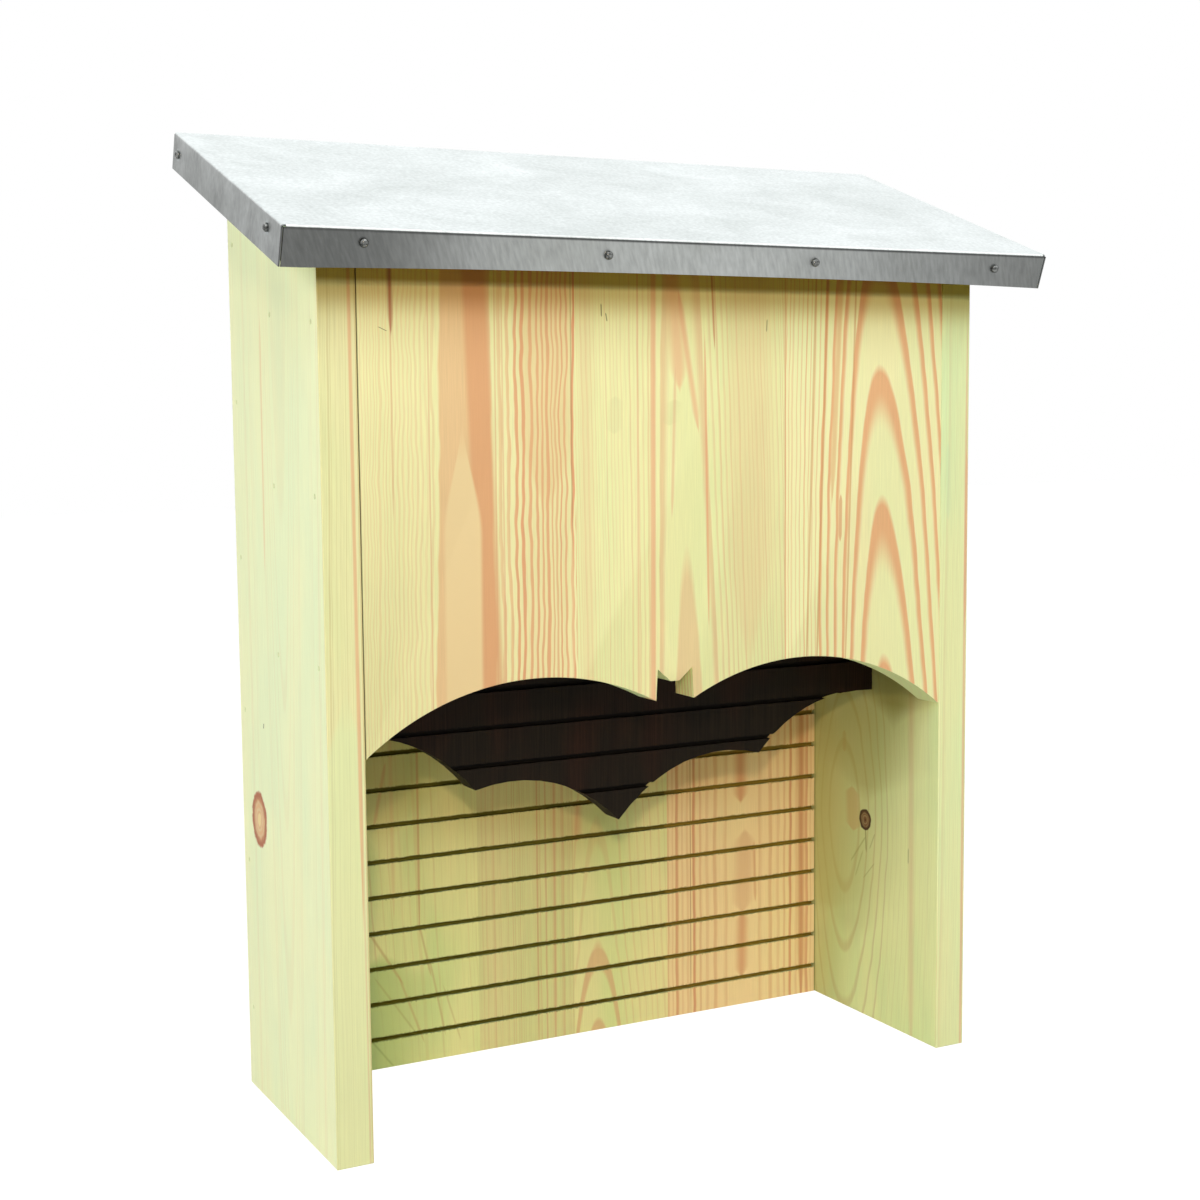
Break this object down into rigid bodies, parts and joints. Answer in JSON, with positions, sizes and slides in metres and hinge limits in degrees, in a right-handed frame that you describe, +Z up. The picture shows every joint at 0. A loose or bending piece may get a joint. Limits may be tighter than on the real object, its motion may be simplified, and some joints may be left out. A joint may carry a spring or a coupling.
{
  "type": "bat box",
  "caption": "Wooden two-chamber bat box with an open grooved landing bay, a bat-shaped cut in its front and partition, and a sloping metal roof.",
  "frame": {"origin": "on the floor under the middle of the whole box, roof overhangs included", "axes": "+Z up the box, +Y from its open front to its back, +X to its right as seen from the front"},
  "size_m": [0.4132, 0.1682, 0.4837],
  "materials": {
    "pine": "planed pine, pale yellow-green from pressure treatment",
    "green_pine": "planed pine, pale green from pressure treatment",
    "stained_pine": "dark brown stained pine, matt",
    "zinc_sheet": "folded galvanised sheet, satin",
    "fastener_steel": "galvanised steel"
  },
  "bodies": {
    "root": {"left_side": "green_pine", "right_side": "green_pine", "front_panel": "pine", "partition": "stained_pine", "back_panel": "pine", "roof_board": "pine", "roof_sheet": "zinc_sheet", "roof_nail_front_1": "fastener_steel", "roof_nail_front_2": "fastener_steel", "roof_nail_front_3": "fastener_steel", "roof_nail_front_4": "fastener_steel", "roof_nail_rear_1": "fastener_steel", "roof_nail_rear_2": "fastener_steel", "roof_nail_rear_3": "fastener_steel", "roof_nail_rear_4": "fastener_steel", "roof_nail_left_1": "fastener_steel", "roof_nail_left_2": "fastener_steel", "roof_nail_right_1": "fastener_steel", "roof_nail_right_2": "fastener_steel", "roof_board_nail_left_1": "fastener_steel", "roof_board_nail_left_2": "fastener_steel", "roof_board_nail_back_left": "fastener_steel", "roof_board_nail_right_1": "fastener_steel", "roof_board_nail_right_2": "fastener_steel", "roof_board_nail_back_right": "fastener_steel", "brad_left_front_1": "fastener_steel", "brad_left_front_2": "fastener_steel", "brad_left_front_3": "fastener_steel", "brad_left_partition_1": "fastener_steel", "brad_left_partition_2": "fastener_steel", "brad_left_partition_3": "fastener_steel", "brad_left_back_1": "fastener_steel", "brad_left_back_2": "fastener_steel", "brad_left_back_3": "fastener_steel", "brad_left_back_4": "fastener_steel", "brad_left_back_5": "fastener_steel", "brad_left_back_6": "fastener_steel", "brad_right_front_1": "fastener_steel", "brad_right_front_2": "fastener_steel", "brad_right_front_3": "fastener_steel", "brad_right_partition_1": "fastener_steel", "brad_right_partition_2": "fastener_steel", "brad_right_partition_3": "fastener_steel", "brad_right_back_1": "fastener_steel", "brad_right_back_2": "fastener_steel", "brad_right_back_3": "fastener_steel", "brad_right_back_4": "fastener_steel", "brad_right_back_5": "fastener_steel", "brad_right_back_6": "fastener_steel", "plate_screw_left_upper": "fastener_steel", "plate_screw_left_lower": "fastener_steel", "plate_screw_right_upper": "fastener_steel", "plate_screw_right_lower": "fastener_steel", "keyhole_plate_left": "fastener_steel", "keyhole_plate_right": "fastener_steel"}
  },
  "joints": []
}
